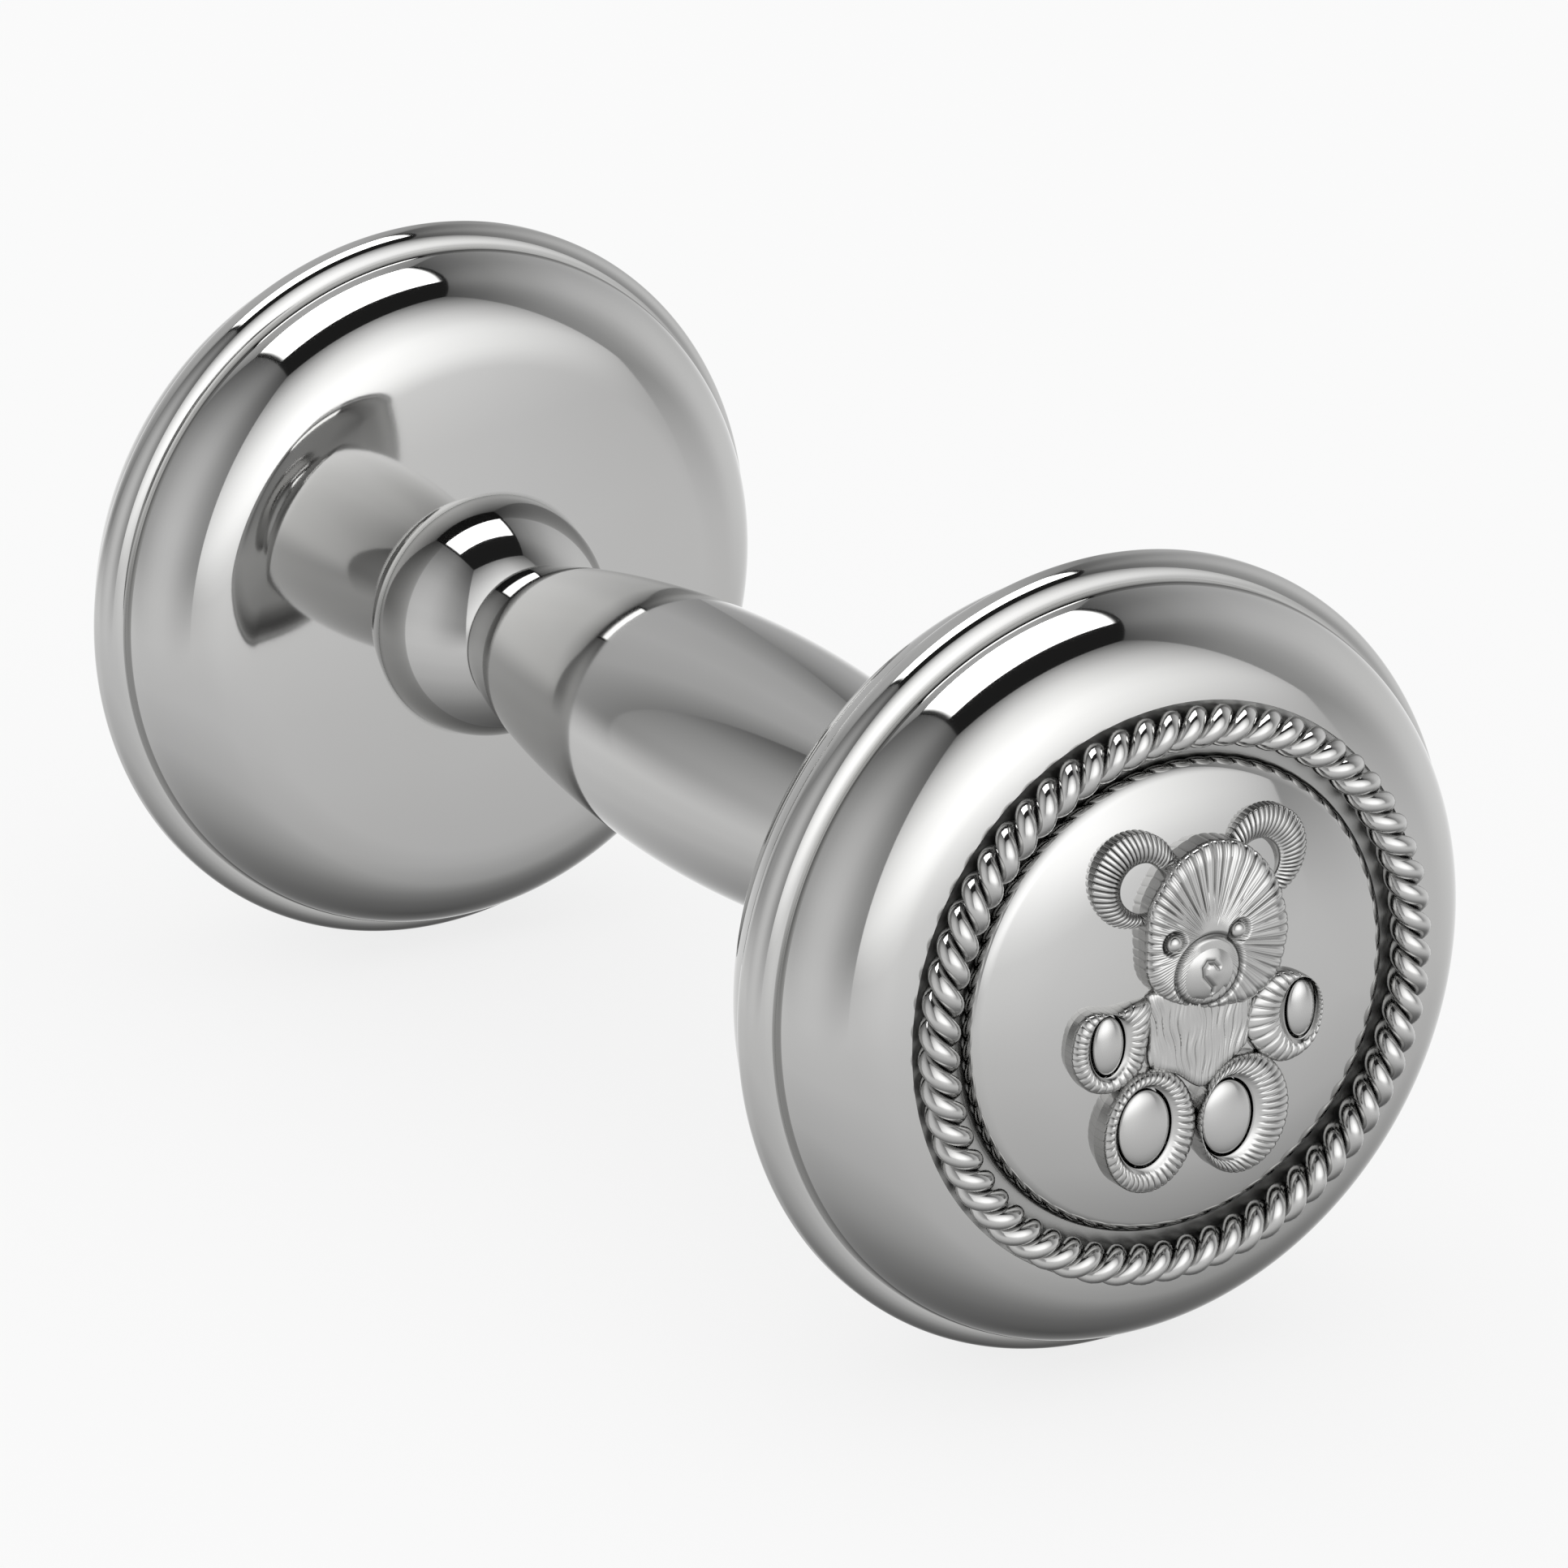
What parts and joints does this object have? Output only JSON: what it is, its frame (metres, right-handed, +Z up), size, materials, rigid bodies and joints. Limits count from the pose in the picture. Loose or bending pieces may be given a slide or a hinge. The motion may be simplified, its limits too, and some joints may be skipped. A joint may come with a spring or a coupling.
{
  "type": "baby rattle",
  "caption": "Silver dumbbell baby rattle: a swelling grip between two hollow disc heads with loose pellets inside, rope borders and a teddy bear relief.",
  "frame": {"origin": "on the surface the rattle lies on, below the middle of its overall length: Z = 0 is the lowest line of both rim bands", "axes": "+Y along the rattle's axis, from the head with the bear to the plain head; +Z up, towards the top of the bear's head; +X completes the right-handed frame, to the right of the bear seen from the front"},
  "size_m": [0.045, 0.0954, 0.045],
  "materials": {
    "polished_silver": "polished",
    "twisted_silver_wire": "polished, darker in the twist",
    "cast_silver": "polished, chased fur with grey recesses",
    "steel_shot": "tumbled"
  },
  "bodies": {
    "rattle": {"grip_barrel": "polished_silver", "bear_applique": "cast_silver", "front_outer_shell": "polished_silver", "front_inner_shell": "polished_silver", "front_rim_band": "polished_silver", "front_rope_border": "twisted_silver_wire", "front_medallion": "polished_silver", "front_knop": "polished_silver", "rear_outer_shell": "polished_silver", "rear_inner_shell": "polished_silver", "rear_rim_band": "polished_silver", "rear_rope_border": "twisted_silver_wire", "rear_medallion": "polished_silver", "rear_knop": "polished_silver"},
    "front_pellet_1_body": {"front_pellet_1": "steel_shot"},
    "front_pellet_2_body": {"front_pellet_2": "steel_shot"},
    "front_pellet_3_body": {"front_pellet_3": "steel_shot"},
    "front_pellet_4_body": {"front_pellet_4": "steel_shot"},
    "rear_pellet_1_body": {"rear_pellet_1": "steel_shot"},
    "rear_pellet_2_body": {"rear_pellet_2": "steel_shot"},
    "rear_pellet_3_body": {"rear_pellet_3": "steel_shot"},
    "rear_pellet_4_body": {"rear_pellet_4": "steel_shot"}
  },
  "joints": [
    {"name": "front_pellet_1_roll", "type": "hinge", "parent": "rattle", "child": "front_pellet_1_body", "pos_m": [0, -0.03667, 0.0225], "axis": [0, 1, 0], "continuous": true},
    {"name": "front_pellet_2_roll", "type": "hinge", "parent": "front_pellet_1_body", "child": "front_pellet_2_body", "pos_m": [0, -0.03667, 0.0225], "axis": [0, 1, 0], "range_deg": [0, 100]},
    {"name": "front_pellet_3_roll", "type": "hinge", "parent": "front_pellet_2_body", "child": "front_pellet_3_body", "pos_m": [0, -0.03667, 0.0225], "axis": [0, 1, 0], "range_deg": [0, 100]},
    {"name": "front_pellet_4_roll", "type": "hinge", "parent": "front_pellet_3_body", "child": "front_pellet_4_body", "pos_m": [0, -0.03667, 0.0225], "axis": [0, 1, 0], "range_deg": [0, 100]},
    {"name": "rear_pellet_1_roll", "type": "hinge", "parent": "rattle", "child": "rear_pellet_1_body", "pos_m": [0, 0.03819, 0.0225], "axis": [0, 1, 0], "continuous": true},
    {"name": "rear_pellet_2_roll", "type": "hinge", "parent": "rear_pellet_1_body", "child": "rear_pellet_2_body", "pos_m": [0, 0.03819, 0.0225], "axis": [0, 1, 0], "range_deg": [0, 100]},
    {"name": "rear_pellet_3_roll", "type": "hinge", "parent": "rear_pellet_2_body", "child": "rear_pellet_3_body", "pos_m": [0, 0.03819, 0.0225], "axis": [0, 1, 0], "range_deg": [0, 100]},
    {"name": "rear_pellet_4_roll", "type": "hinge", "parent": "rear_pellet_3_body", "child": "rear_pellet_4_body", "pos_m": [0, 0.03819, 0.0225], "axis": [0, 1, 0], "range_deg": [0, 100]}
  ]
}
